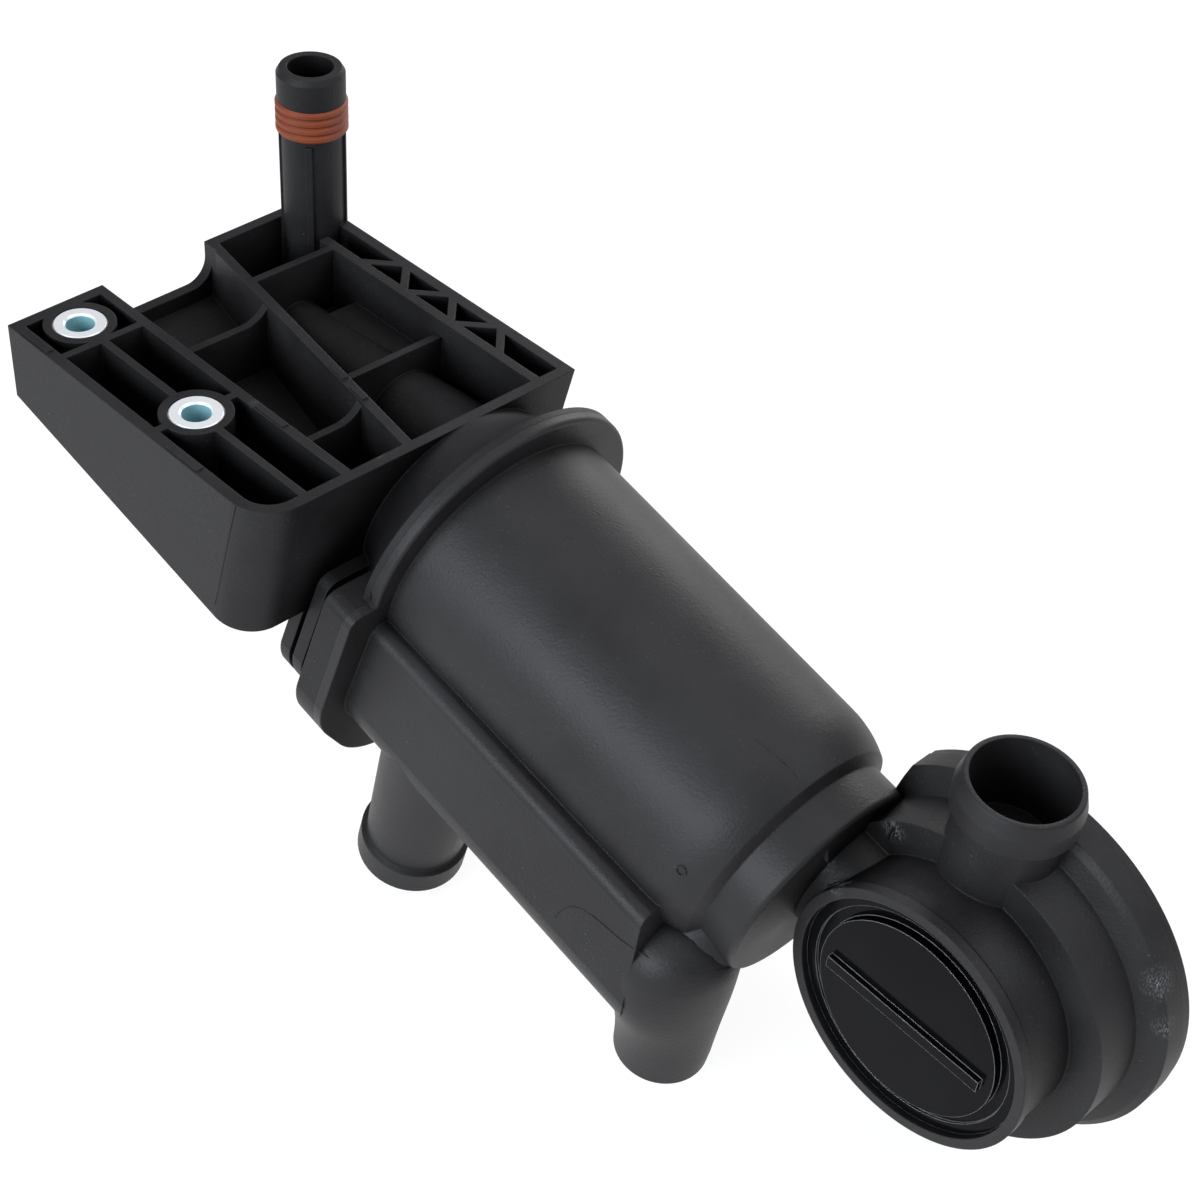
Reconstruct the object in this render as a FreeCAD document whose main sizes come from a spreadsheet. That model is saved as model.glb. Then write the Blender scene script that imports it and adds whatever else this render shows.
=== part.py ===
import FreeCAD, Part
import math
import os
import re
import Sketcher

# Frame: origin midway between the two bolts on the mounting face, X along the bolt line towards the
# canister, Y along the valve axis away from its capped front, Z out of the mounting face.

doc = FreeCAD.newDocument("oil_separator")
sheet = doc.addObject("Spreadsheet::Sheet", "sizes")

# Driving sizes in millimetres and degrees
driving = {
    # lie of the canister and its weld flange
    "tilt": 14.0, "flange_x": 67.07, "flange_y": 43.15, "flange_z": -28.63,
    # bracket box
    "left_x": -29.83, "right_x": 61.15, "front_y": -12.9, "back_y": 73.8, "corner_round": 9.5,
    "box_wall": 2.8, "box_depth": 19.2, "box_slope": 13.6, "floor_depth": 13.5, "floor_slope": 8.0,
    "left_skew": 1.65, "trim_reach": 90.0, "pad_reach": 60.0,
    # bracket ribs
    "main_rib": 2.4, "thin_rib": 1.9, "rib_reach": 60.0, "channel_y": 11.3, "near_rib_x": -13.0,
    "slant_start_y": 42.6, "slant_turn": 9.6, "pocket_rib_x": -11.8, "strip_y": 64.4, "strip_start_x": -16.0,
    "truss_pitch": 16.6, "truss_start_x": -3.3, "low_top": 4.0, "low_near_x": -2.6, "low_far_x": 40.2,
    "low_cross_x": 27.5, "rise_run": 6.5, "rise_top": 0.8, "step_start_x": -3.0, "step_y_low": 51.0,
    "step_top": 10.8, "rim_land": 0.45, "rim_land_wide": 1.7,
    "notch_depth": 9.6, "notch_round": 6.0, "notch_start_y": 12.5, "notch_end_y": 41.5,
    # bolt bosses and sleeves
    "bolt_pitch": 43.5, "boss_r": 8.15, "bush_r": 6.2, "bolt_hole_r": 3.25, "boss_land": 1.9,
    "bush_edge": 0.5,
    # spigot and seal
    "spigot_x": -24.9, "spigot_y": 68.6, "spigot_top": 39.8, "spigot_r": 7.25, "spigot_nose_r": 8.05,
    "spigot_bore_r": 5.4, "seal_low": 24.1, "seal_high": 32.0, "seal_seat_r": 6.3, "seal_r": 8.5,
    "seal_rib": 0.55, "nose_edge": 1.3, "spigot_root": -17.0, "spigot_rib": 1.6, "spigot_rib_r": 7.85,
    # gas duct under the bracket floor
    "duct_x": 59.5, "duct_y": 52.0, "duct_z": -23.0, "duct_turn": 85.0, "duct_r": 14.5, "duct_end_r": 5.6,
    "duct_length": 79.0, "duct_wall": 2.4, "cross_x": -19.0, "cross_z": -14.5, "cross_r": 5.4,
    "cross_bore_r": 3.4,
    # weld flange and its lobe
    "flange_r": 36.3, "flange_side": 0.6, "flange_up": 1.2, "head_back": -4.5, "rim_back": 0.2,
    "rim_step": 0.7,
    "seam": 1.8, "flange_face": 4.3, "flange_edge": 1.0, "flange_grow": 6.8,
    "mouth_back": -13.2, "cove_r": 25.0, "cove_round": 22.0, "mouth_floor": -10.0, "mouth_floor_r": 20.5,
    "mouth_bore_r": 28.0, "ring_grow": 2.4, "ring_width": 3.2, "ring_near": -16.0, "ring_far": -11.6,
    "lobe_side": 24.5, "lobe_low": 27.0, "lobe_r": 13.7, "lobe_run": 9.5, "lobe_turn": 57.0,
    "lobe_step": 34.6, "lobe_top": -3.6, "lobe_crest": 2.6, "lobe_crest_r": 3.4, "lobe_back": 6.0,
    "lobe_wall": 2.4,
    # canister
    "can_r": 31.0, "can_end_r": 30.2, "can_end": 97.0, "dome_run": 11.0, "dome_drop": 2.6, "shoulder": 1.6,
    "can_wall": 2.4, "neck_r": 25.0, "neck_length": 10.5, "neck_round": 1.2, "port_r": 12.5, "port_side": 8.4,
    # hose nipple under the lobe
    "hose_s": 23.3, "hose_side": -25.0, "hose_top": -29.0, "hose_r": 11.6, "hose_root": 1.5,
    "hose_bead": -66.8, "hose_end": -75.2, "hose_bead_r": 12.8, "hose_bore_r": 8.4,
    # drain pipe
    "drain_ahead": 0.4, "drain_side": -22.0, "drain_top": -20.9, "drain_turn": 7.0, "drain_r": 11.0,
    "drain_tip_r": 10.4, "drain_length": 33.3, "drain_bore_r": 8.0, "drain_straight": 5.0, "drain_lean": 38.0,
    "drain_root": 22.0,
    # inner tube
    "tube_r": 11.0, "tube_wall": 1.6, "tube_end": 58.0, "tube_plate": 2.0, "tube_gap": 0.05,
    # valve housing
    "valve_reach": 31.8, "lip_y": 35.0, "lip_r": 29.6, "lip_deep": 2.4, "front_r": 28.9, "step_y": 49.8,
    "step_r": 36.4, "rear_y": 62.5, "rear_r": 41.8, "rear_flat": 3.0,
    "rear_face_y": 69.1, "cap_seat_y": 38.4, "cap_seat_r": 27.2,
    "chamber_r": 26.2, "ledge_y": 66.0, "ledge_r": 31.0, "bowl_r": 26.8, "bowl_y": 60.0, "bowl_foot_y": 53.0,
    "joint_r": 15.0, "weld_gap": 0.05,
    "seat_r": 11.0, "seat_bore_r": 9.0, "seat_y": 60.0, "seat_foot_y": 44.0, "seat_floor": 2.0,
    "branch_y": 53.6, "branch_r": 6.4, "branch_bore_r": 4.8,
    # valve nipple
    "stub_back": 3.5, "stub_y": 57.6, "stub_turn": 4.6, "stub_rise": 53.0, "stub_foot": 20.0, "stub_r": 11.3,
    "stub_barb_r": 12.46, "stub_bore_r": 10.84, "stub_ledge": 34.0, "stub_barb": 8.0,
    # cap
    "cap_gap": 0.1, "cap_ring_y": 36.6, "cap_ring_r": 24.7, "disc_y": 35.2, "disc_r": 22.3, "groove_y": 37.2,
    "bar_length": 39.5, "bar_width": 2.9, "bar_height": 1.4, "bar_turn": 3.5,
    # diaphragm stack
    "membrane": 1.0, "bead_deep": 1.4, "bead_r": 30.8, "bead_in_r": 27.4, "fold_r": 21.5, "fold_deep": 3.2,
    "plate_r": 16.0, "plate_y": 63.4, "plate_deep": 1.8, "hub_r": 4.0, "hub_deep": 3.6,
    "spring_r": 6.6, "wire_r": 0.5, "spring_turns": 5.0, "spring_gap": 0.1,
    "cover_margin": 0.4, "plug_r": 30.8, "cover_rim": 2.2, "dome_r": 28.0, "dome_y": 77.0, "cover_wall": 2.0,
    "vent_r": 1.6,
}
# Places that follow from the driving sizes
derived = {
    "neck_end": "=can_end + neck_length", "lobe_end": "=can_end - lobe_back",
    "lobe_end_x": "=flange_x + lobe_end * cos(tilt) + lobe_top * sin(tilt)",
    "drain_s": "=can_end + drain_ahead",
    "valve_s": "=neck_end + valve_reach", "stub_x": "=flange_x + valve_s * cos(tilt) - stub_back",
    "cover_r": "=rear_r - cover_margin",
}
named = {**driving, **derived}
for row, (alias, value) in enumerate(named.items(), 1):
    cell = "A%d" % row
    sheet.set(cell, str(value))
    sheet.setAlias(cell, alias)
doc.recompute()


# Helpers that tie every size and place to the sheet
def bound(formula):
    def cell_name(match):
        word = match.group(0)
        return "sizes." + word if word in named else word
    return re.sub(r"[a-z_]+", cell_name, formula)


def number(formula):
    value = sheet.evalExpression(bound(formula))
    return float(getattr(value, "Value", value))


def bind(item, formulas):
    for path, formula in formulas.items():
        item.setExpression(path, bound(formula))


def place(item, where, turn="0", axis=(0, 1, 0)):
    item.Placement = FreeCAD.Placement(FreeCAD.Vector(), FreeCAD.Rotation(FreeCAD.Vector(*axis),
        number(turn)))
    bind(item, {"Placement.Base." + name: formula for name, formula in zip("xyz", where)})
    if turn != "0":
        bind(item, {"Placement.Rotation.Angle": turn})
    return item


def on_canister(along, side, up):
    return ("flange_x + (%s) * cos(tilt) + (%s) * sin(tilt)" % (along, up),
            "flange_y + (%s)" % side,
            "flange_z - (%s) * sin(tilt) + (%s) * cos(tilt)" % (along, up))


def cylinder(name, radius, height, where, turn="0", axis=(0, 1, 0)):
    item = doc.addObject("Part::Cylinder", name)
    bind(item, {"Radius": radius, "Height": height})
    return place(item, where, turn, axis)


def box(name, length, width, height, where, turn="0", axis=(0, 1, 0)):
    item = doc.addObject("Part::Box", name)
    bind(item, {"Length": length, "Width": width, "Height": height})
    return place(item, where, turn, axis)


def cone(name, radius, end_radius, height, where, turn):
    item = doc.addObject("Part::Cone", name)
    bind(item, {"Radius1": radius, "Radius2": end_radius, "Height": height})
    return place(item, where, turn)


def fuse(name, items):
    item = doc.addObject("Part::MultiFuse", name)
    item.Shapes = items
    item.Refine = True
    return item


def cut(name, base, tool):
    item = doc.addObject("Part::Cut", name)
    item.Base = base
    item.Tool = tool
    item.Refine = True
    return item


def common(name, first, second):
    item = doc.addObject("Part::Common", name)
    item.Base = first
    item.Tool = second
    return item


def arc_between(start, end, radius, turn):
    chord = end - start
    middle = (start + end) * 0.5
    height = math.sqrt(max(radius * radius - chord.Length ** 2 / 4, 0))
    left = FreeCAD.Vector(-chord.y, chord.x, 0).normalize()
    centre = middle + left * height * turn
    first = math.atan2(start.y - centre.y, start.x - centre.x)
    last = math.atan2(end.y - centre.y, end.x - centre.x)
    ring = Part.Circle(centre, FreeCAD.Vector(0, 0, 1), radius)
    return Part.ArcOfCircle(ring, first, last) if turn > 0 else Part.ArcOfCircle(ring, last, first)


# A corner is (x, y) or (x, y, radius, turn) when the edge that leaves it is an arc
def draw(sketch, corners):
    spots = [FreeCAD.Vector(number(corner[0]), number(corner[1]), 0) for corner in corners]
    ends = []
    for index, corner in enumerate(corners):
        start = spots[index]
        end = spots[(index + 1) % len(spots)]
        if len(corner) == 2:
            sketch.addGeometry(Part.LineSegment(start, end))
            ends.append((1, 2))
        else:
            sketch.addGeometry(arc_between(start, end, number(corner[2]), corner[3]))
            ends.append((1, 2) if corner[3] > 0 else (2, 1))
    for index, corner in enumerate(corners):
        after = (index + 1) % len(corners)
        sketch.addConstraint(Sketcher.Constraint("Coincident", index, ends[index][1], after, ends[after][0]))
        for kind, formula, line in (("DistanceX", corner[0], -2), ("DistanceY", corner[1], -1)):
            if formula == "0":
                sketch.addConstraint(Sketcher.Constraint("PointOnObject", index, ends[index][0], line))
                continue
            rule = Sketcher.Constraint(kind, -1, 1, index, ends[index][0], number(formula))
            mark = sketch.addConstraint(rule)
            sketch.setExpression("Constraints[%d]" % mark, bound(formula))
        if len(corner) == 4:
            mark = sketch.addConstraint(Sketcher.Constraint("Radius", index, number(corner[2])))
            sketch.setExpression("Constraints[%d]" % mark, bound(corner[2]))
    return sketch


def new_body(name, where, turn="0", axis=(0, 1, 0)):
    body = doc.addObject("PartDesign::Body", name)
    place(body, where, turn, axis)
    return body


def body_sketch(body, role, corners):
    sketch = body.newObject("Sketcher::SketchObject", body.Name + "_outline")
    plane = [item for item in body.Origin.OriginFeatures if item.Role == role][0]
    sketch.AttachmentSupport = [(plane, "")]
    sketch.MapMode = "FlatFace"
    return draw(sketch, corners)


def turned(name, role, axis_name, corners, where, turn="0", axis=(0, 1, 0)):
    body = new_body(name, where, turn, axis)
    sketch = body_sketch(body, role, corners)
    form = body.newObject("PartDesign::Revolution", name + "_turned")
    form.Profile = sketch
    form.ReferenceAxis = (sketch, [axis_name])
    form.Angle = 360
    body.Tip = form
    return body


def padded(name, role, corners, length, where, turn="0"):
    body = new_body(name, where, turn)
    sketch = body_sketch(body, role, corners)
    form = body.newObject("PartDesign::Pad", name + "_pad")
    form.Profile = sketch
    bind(form, {"Length": length})
    body.Tip = form
    return body


def sloped_trim(name, depth, slope, start_x):
    where = ("%s - trim_reach * sin(%s) - trim_reach / 3 * cos(%s)" % (start_x, slope, slope),
             "front_y - trim_reach / 3",
             "-(%s) - trim_reach * cos(%s) + trim_reach / 3 * sin(%s)" % (depth, slope, slope))
    return box(name, "trim_reach * 2", "trim_reach * 2", "trim_reach", where, slope)


# Bracket box: plan outline swept square to the canister axis, then trimmed at its left end and underside
def box_sweep(name, inset):
    sketch = doc.addObject("Sketcher::SketchObject", name + "_plan")
    draw(sketch, [("left_x - box_wall * 2", "front_y + %s" % inset),
                  ("right_x - corner_round", "front_y + %s" % inset, "corner_round - %s" % inset, 1),
                  ("right_x - %s" % inset, "front_y + corner_round"),
                  ("right_x - %s" % inset, "back_y - %s" % inset),
                  ("left_x - box_wall * 2", "back_y - %s" % inset)])
    sweep = doc.addObject("Part::Extrusion", name)
    sweep.Base = sketch
    sweep.DirMode = "Custom"
    lean = math.radians(number("tilt"))
    sweep.Dir = FreeCAD.Vector(-math.sin(lean), 0, -math.cos(lean))
    sweep.Solid = True
    bind(sweep, {"Dir.x": "-sin(tilt)", "Dir.z": "-cos(tilt)", "LengthFwd": "pad_reach"})
    return sweep


def left_trim(name, inset):
    return box(name, "trim_reach", "trim_reach * 2", "trim_reach * 2",
               ("left_x + %s - trim_reach * cos(left_skew)" % inset,
                "front_y - trim_reach / 3 - trim_reach * sin(left_skew)", "-trim_reach"),
               "left_skew", (0, 0, 1))


outer_box = cut("outer_box", box_sweep("outer_sweep", "0"), left_trim("outer_left", "0"))
block = cut("bracket_block", outer_box, sloped_trim("underside", "box_depth", "box_slope", "left_x"))
inner_box = cut("inner_box", box_sweep("inner_sweep", "box_wall"), left_trim("inner_left", "box_wall"))
pocket = cut("bracket_pocket", inner_box, sloped_trim("pocket_floor", "floor_depth", "floor_slope", "left_x"))
shell = cut("bracket_shell", block, pocket)


# Bracket ribs: upright plates on a centre line, with their tops at or below the mounting face
def rib(name, x, y, length, thick, top="0", turn="0"):
    where = ("%s + (%s) / 2 * sin(%s)" % (x, thick, turn), "%s - (%s) / 2 * cos(%s)" % (y, thick, turn),
             "-(%s) - rib_reach" % top)
    return box(name, length, thick, "rib_reach", where, turn, (0, 0, 1))


slant_run = "(right_x - left_x) / cos(slant_turn)"
ribs = [
    rib("channel_wall", "left_x", "channel_y", "right_x - left_x", "main_rib"),
    rib("bolt_line_rib", "near_rib_x", "0", "right_x - near_rib_x", "thin_rib"),
    rib("near_cross_rib", "near_rib_x", "front_y", "channel_y - front_y", "thin_rib", "0", "90"),
    rib("bush_cross_rib", "bolt_pitch / 2", "front_y", "channel_y - front_y", "thin_rib", "0", "90"),
    rib("slant_wall", "left_x", "slant_start_y", slant_run, "main_rib", "0", "-slant_turn"),
    rib("pocket_cross_rib", "pocket_rib_x", "slant_start_y + (left_x - pocket_rib_x) * tan(slant_turn)",
        "strip_y - slant_start_y - (left_x - pocket_rib_x) * tan(slant_turn)", "thin_rib", "0", "90"),
    rib("strip_wall", "strip_start_x", "strip_y", "right_x - strip_start_x", "main_rib"),
    rib("low_cross_rib", "low_cross_x", "strip_y - 30", "30", "thin_rib", "low_top", "90"),
    rib("pocket_step", "step_start_x", "(strip_y + step_y_low) / 2", "low_cross_x - step_start_x",
        "strip_y - step_y_low", "step_top"),
]


# Low ribs across the wide pocket, each curving up where it meets the slanting wall
def low_rib(name, x):
    meeting = "(slant_start_y + (left_x - %s) * tan(slant_turn) - main_rib / 2)" % x
    rise = "(low_top - rise_top)"
    curve = "(rise_run * rise_run + %s * %s) / (2 * %s)" % (rise, rise, rise)
    return padded(name, "YZ_Plane", [
        ("channel_y", "-low_top"), ("%s - rise_run" % meeting, "-low_top", curve, 1), (meeting, "-rise_top"),
        ("%s + main_rib / 2" % meeting, "-rise_top"), ("%s + main_rib / 2" % meeting, "-rib_reach"),
        ("channel_y", "-rib_reach")], "thin_rib", ("%s - thin_rib / 2" % x, "0", "0"))


ribs += [low_rib("low_near_rib", "low_near_x"), low_rib("low_far_rib", "low_far_x")]
truss_rise = "(back_y - box_wall / 2 - strip_y)"
for step in range(6):
    start_x = "truss_start_x + truss_pitch / 2 * %d" % step
    lean = "atan(%s * 2 / truss_pitch)" % truss_rise
    long_side = "sqrt(%s * %s + truss_pitch * truss_pitch / 4)" % (truss_rise, truss_rise)
    rising = step % 2 == 0
    ribs.append(rib("truss_%d" % (step + 1), start_x, "strip_y" if rising else "back_y - box_wall / 2",
                    long_side, "thin_rib", "0", lean if rising else "-" + lean))
bosses = [cylinder("boss_%s" % side, "boss_r", "rib_reach", ("%s * bolt_pitch / 2" % sign, "0", "-rib_reach"))
          for side, sign in (("near", "-1"), ("far", "1"))]
web = common("bracket_web", fuse("bracket_ribs", ribs + bosses), block)


# Shallow lands on the rim, each given by its start, length and turn along its wall
def rim_land(name, x, y, length, turn="0"):
    where = ("%s + rim_land_wide / 2 * sin(%s)" % (x, turn), "%s - rim_land_wide / 2 * cos(%s)" % (y, turn),
             "-rim_land")
    return box(name, length, "rim_land_wide", "rim_land * 2", where, turn, (0, 0, 1))


front_line = "front_y + box_wall / 2"
rim_lands = [rim_land("land_front_near", "-26", front_line, "10"),
             rim_land("land_front_far", "28", front_line, "11"),
             rim_land("land_channel", "27", "channel_y", "11")]
for name, x in (("land_slant_near", "26.9"), ("land_slant_far", "35.6")):
    rim_lands.append(rim_land(name, x, "slant_start_y + (left_x - %s) * tan(slant_turn)" % x, "5.4",
        "-slant_turn"))


# Flat lands under the bosses, square to the bolts
def land_depth(sign):
    return "box_depth + (%s * bolt_pitch / 2 - left_x + boss_r) * tan(box_slope) + boss_land" % sign


lands = [cylinder("land_%s" % side, "boss_r", "%s - box_depth / 2" % land_depth(sign),
                  ("%s * bolt_pitch / 2" % sign, "0", "-(%s)" % land_depth(sign)))
         for side, sign in (("near", "-1"), ("far", "1"))]
bush_holes = [cylinder("bush_hole_%s" % side, "bush_r", "trim_reach",
                       ("%s * bolt_pitch / 2" % sign, "0", "-trim_reach / 2"))
              for side, sign in (("near", "-1"), ("far", "1"))]

# Scalloped notch in the left wall
notch = fuse("left_notch", [
    box("notch_low", "box_wall * 3", "notch_end_y - notch_round - notch_start_y", "notch_depth * 2",
        ("left_x - box_wall * 2", "notch_start_y", "-notch_depth")),
    box("notch_high", "box_wall * 3", "notch_end_y - notch_start_y", "notch_depth * 2",
        ("left_x - box_wall * 2", "notch_start_y", "notch_round - notch_depth")),
    cylinder("notch_curve", "notch_round", "box_wall * 3",
             ("left_x - box_wall * 2", "notch_end_y - notch_round", "notch_round - notch_depth"), "90"),
])

# Spigot with its seal seat and nose
spigot_tube = turned("spigot_tube", "XZ_Plane", "V_Axis", [
    ("spigot_bore_r", "spigot_root"), ("spigot_r", "spigot_root"), ("spigot_r", "seal_low"),
    ("seal_seat_r", "seal_low"), ("seal_seat_r", "seal_high"), ("spigot_nose_r", "seal_high"),
    ("spigot_nose_r", "spigot_top - nose_edge"), ("spigot_nose_r - nose_edge * 0.6", "spigot_top"),
    ("spigot_bore_r", "spigot_top")], ("spigot_x", "spigot_y", "0"))
spigot_ribs = [box("spigot_rib_%d" % (step + 1), "spigot_rib_r", "spigot_rib", "seal_low - 1.2 - spigot_root",
                   ("spigot_x + spigot_rib / 2 * sin(45 + %d)" % (90 * step),
                    "spigot_y - spigot_rib / 2 * cos(45 + %d)" % (90 * step), "spigot_root"),
                   "45 + %d" % (90 * step), (0, 0, 1)) for step in range(4)]
spigot_foot = cylinder("spigot_foot", "spigot_r", "2.4", ("spigot_x", "spigot_y", "spigot_root - 2.4"))
spigot_bore = cylinder("spigot_bore", "spigot_bore_r", "spigot_top - spigot_root + 1",
                       ("spigot_x", "spigot_y", "spigot_root"))

# Gas duct from the spigot to the mouth of the head
duct_where = ("duct_x", "duct_y", "duct_z")
duct_cone = cone("duct_outer", "duct_r", "duct_end_r", "duct_length", duct_where, "-duct_turn")
duct_skin = common("duct_skin", duct_cone, block)
duct_hole = cone("duct_bore", "duct_r - duct_wall", "duct_end_r - duct_wall", "duct_length - duct_wall",
    duct_where,
                 "-duct_turn")
cross_length = "spigot_y - duct_y"
cross_where = ("cross_x", "spigot_y", "cross_z")
cross_lean = "90"
cross_skin = common("cross_skin", cylinder("cross_outer", "cross_r", cross_length, cross_where, cross_lean,
    (1, 0, 0)),
                    block)
cross_hole = cylinder("cross_bore", "cross_bore_r", cross_length, cross_where, cross_lean, (1, 0, 0))
corner_hole = cylinder("corner_bore", "cross_bore_r", "cross_x - spigot_x", ("spigot_x", "spigot_y",
    "cross_z"), "90")


# Lobe outline beside the canister circle, grown by a margin, seen along the canister axis
def lobe(name, grow, start, end):
    radius = "(lobe_r + %s)" % grow
    low_side = "(-lobe_side + lobe_run * cos(lobe_turn))"
    low_down = "(-lobe_low - lobe_run * sin(lobe_turn))"
    corners = [
        ("0", "lobe_top + %s" % grow),
        ("lobe_crest - lobe_step - %s" % grow, "lobe_top + %s" % grow, "lobe_crest_r", 1),
        ("-lobe_step - lobe_crest / 4 - %s" % grow, "lobe_top - lobe_crest * 1.3 + %s" % grow),
        ("-lobe_side - %s" % radius, "-lobe_low", radius, 1),
        ("-lobe_side - %s * sin(lobe_turn)" % radius, "-lobe_low - %s * cos(lobe_turn)" % radius),
        ("%s - %s * sin(lobe_turn)" % (low_side, radius), "%s - %s * cos(lobe_turn)" % (low_down, radius),
        radius, 1),
        ("%s + %s * 0.5" % (low_side, radius), "%s - %s * 0.8660254" % (low_down, radius)),
        ("0", "-lobe_low"),
    ]
    return padded(name, "YZ_Plane", corners, "(%s) - (%s)" % (end, start), on_canister(start, "0", "0"),
        "tilt")


def disc(name, radius, start, end):
    return cylinder(name, radius, "(%s) - (%s)" % (end, start), on_canister(start, "0", "0"), "90 + tilt")


# Mouth of the head: flange half with a cove behind its rim, lobe rings and the hollow behind the seam
flange_where = on_canister("0", "flange_side", "flange_up")
head_flange = turned("head_flange", "XY_Plane", "H_Axis", [
    ("mouth_back", "0"), ("mouth_back", "cove_r", "cove_round", 1), ("rim_back", "flange_r - rim_step"),
    ("rim_back", "flange_r"), ("seam", "flange_r"), ("seam", "0")], flange_where, "tilt")
mouth_bore = turned("mouth_bore", "XY_Plane", "H_Axis", [
    ("mouth_floor", "0"), ("mouth_floor", "mouth_floor_r"), ("seam", "mouth_bore_r"), ("seam", "0")],
    on_canister("0", "0", "0"), "tilt")
head_parts = [shell, web, spigot_tube, spigot_foot, duct_skin, cross_skin,
    head_flange] + lands + spigot_ribs + [
    lobe("mouth_lobe", "0", "ring_near - ring_width / 2", "head_back"),
    lobe("ring_lobe_near", "ring_grow", "ring_near", "ring_near + ring_width"),
    lobe("ring_lobe_far", "ring_grow", "ring_far", "ring_far + ring_width"),
    lobe("head_flange_lobe", "flange_grow", "head_back", "seam"),
] + rim_lands
head_holes = bush_holes + [
    notch, spigot_bore, duct_hole, cross_hole, corner_hole, mouth_bore,
    lobe("mouth_lobe_bore", "-lobe_wall", "mouth_floor", "seam"),
]
bracket_head = cut("bracket_head", fuse("head_solid", head_parts), fuse("head_voids", head_holes))

# Steel sleeves in the bosses
sleeves = []
for side, sign in (("near", "-1"), ("far", "1")):
    sleeves.append(turned("bolt_bush_%s" % side, "XZ_Plane", "V_Axis", [
        ("bolt_hole_r + bush_edge", "0"), ("bush_r - bush_edge", "0"), ("bush_r", "-bush_edge"),
        ("bush_r", "-(%s)" % land_depth(sign)), ("bolt_hole_r", "-(%s)" % land_depth(sign)),
        ("bolt_hole_r", "-bush_edge")], ("%s * bolt_pitch / 2" % sign, "0", "0")))

# Ribbed seal on the spigot
seal_pitch = "(seal_high - seal_low) / 4"
seal_corners = [("seal_seat_r", "seal_high"), ("seal_seat_r", "seal_low")]
for step in range(4):
    foot = "seal_low + %s * %d" % (seal_pitch, step)
    seal_corners.append(("seal_r - seal_rib", foot))
    seal_corners.append(("seal_r", "%s + %s * 0.3" % (foot, seal_pitch)))
    seal_corners.append(("seal_r", "%s + %s * 0.7" % (foot, seal_pitch)))
seal_corners.append(("seal_r - seal_rib", "seal_high"))
spigot_seal = turned("spigot_seal", "XZ_Plane", "V_Axis", seal_corners, ("spigot_x", "spigot_y", "0"))

# Canister: turned vessel, side lobe, hose nipple and drain pipe, all hollow
dome_curve = "(dome_run * dome_run + dome_drop * dome_drop) / (2 * dome_drop)"
can_flange = turned("can_flange", "XY_Plane", "H_Axis", [
    ("seam", "0"), ("seam", "flange_r"), ("flange_face - flange_edge", "flange_r", "flange_edge", -1),
    ("flange_face", "flange_r - flange_edge"), ("flange_face", "0")], flange_where, "tilt")
vessel = turned("vessel_outer", "XY_Plane", "H_Axis", [
    ("seam", "0"), ("seam", "can_r"), ("can_end - dome_run", "can_end_r", dome_curve, -1),
    ("can_end", "can_end_r - dome_drop"), ("can_end + shoulder", "neck_r"), ("neck_end - neck_round",
    "neck_r", "neck_round", -1),
    ("neck_end", "neck_r - neck_round"), ("neck_end", "0")], on_canister("0", "0", "0"), "tilt")
vessel_hollow = turned("vessel_hollow", "XY_Plane", "H_Axis", [
    ("seam", "0"), ("seam", "can_r - can_wall"), ("can_end - dome_run", "can_end_r - can_wall"),
    ("can_end - can_wall", "neck_r - can_wall"), ("neck_end - can_wall", "neck_r - can_wall"),
    ("neck_end - can_wall", "0")], on_canister("0", "0", "0"), "tilt")
hose_nipple = turned("hose_nipple", "XZ_Plane", "V_Axis", [
    ("0", "hose_top"), ("hose_r + hose_root", "hose_top"), ("hose_r", "hose_bead"),
    ("hose_bead_r", "hose_bead - 0.7"), ("hose_bead_r", "hose_end + 1.4"), ("hose_r + 0.3", "hose_end"),
    ("0", "hose_end")],
    on_canister("hose_s", "hose_side", "0"), "tilt")
drain_where = on_canister("drain_s", "drain_side", "drain_top")
drain_pipe = turned("drain_pipe", "XZ_Plane", "V_Axis", [
    ("0", "0"), ("drain_r", "0"), ("drain_tip_r", "drain_straight - drain_length"),
    ("drain_tip_r", "1 - drain_length"), ("drain_tip_r - 0.8", "-drain_length"),
    ("0", "-drain_length")], drain_where, "drain_turn")
drain_bend = doc.addObject("Part::Sphere", "drain_bend")
bind(drain_bend, {"Radius": "drain_r"})
place(drain_bend, drain_where)
drain_limit = disc("drain_limit", "can_r * 2", "flange_face", "neck_end")
drain_lean_pipe = cylinder("drain_lean_pipe", "drain_r", "drain_root", drain_where, "-drain_lean", (1, 0, 0))
drain_root_form = common("drain_root_form", drain_lean_pipe, drain_limit)
side_lobe = cut("side_lobe", lobe("side_lobe_run", "0", "seam + 0.5", "can_end"),
                box("lobe_end_cut", "trim_reach", "trim_reach * 2", "trim_reach * 2",
                    ("lobe_end_x", "front_y - trim_reach / 2", "-trim_reach * 1.6")))
can_parts = [vessel, can_flange, hose_nipple, drain_pipe, drain_bend, drain_root_form, side_lobe,
             lobe("can_flange_lobe", "flange_grow", "seam", "flange_face")]
can_voids = [
    vessel_hollow, lobe("side_lobe_hollow", "-lobe_wall", "seam", "lobe_end - lobe_wall"),
    cylinder("hose_bore", "hose_bore_r", "hose_top - hose_end + 5",
             on_canister("hose_s", "hose_side", "hose_end - 2"), "tilt"),
    cylinder("drain_bore", "drain_bore_r", "drain_length + 2", drain_where, "180 + drain_turn"),
    cylinder("drain_root_bore", "drain_bore_r", "drain_root", drain_where, "-drain_lean", (1, 0, 0)),
    cylinder("port_bore", "port_r", "can_wall * 3", on_canister("neck_end - can_wall * 2", "port_side", "0"),
             "90 + tilt"),
]
canister = cut("canister", fuse("can_solid", can_parts), fuse("can_hollow", can_voids))

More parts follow.
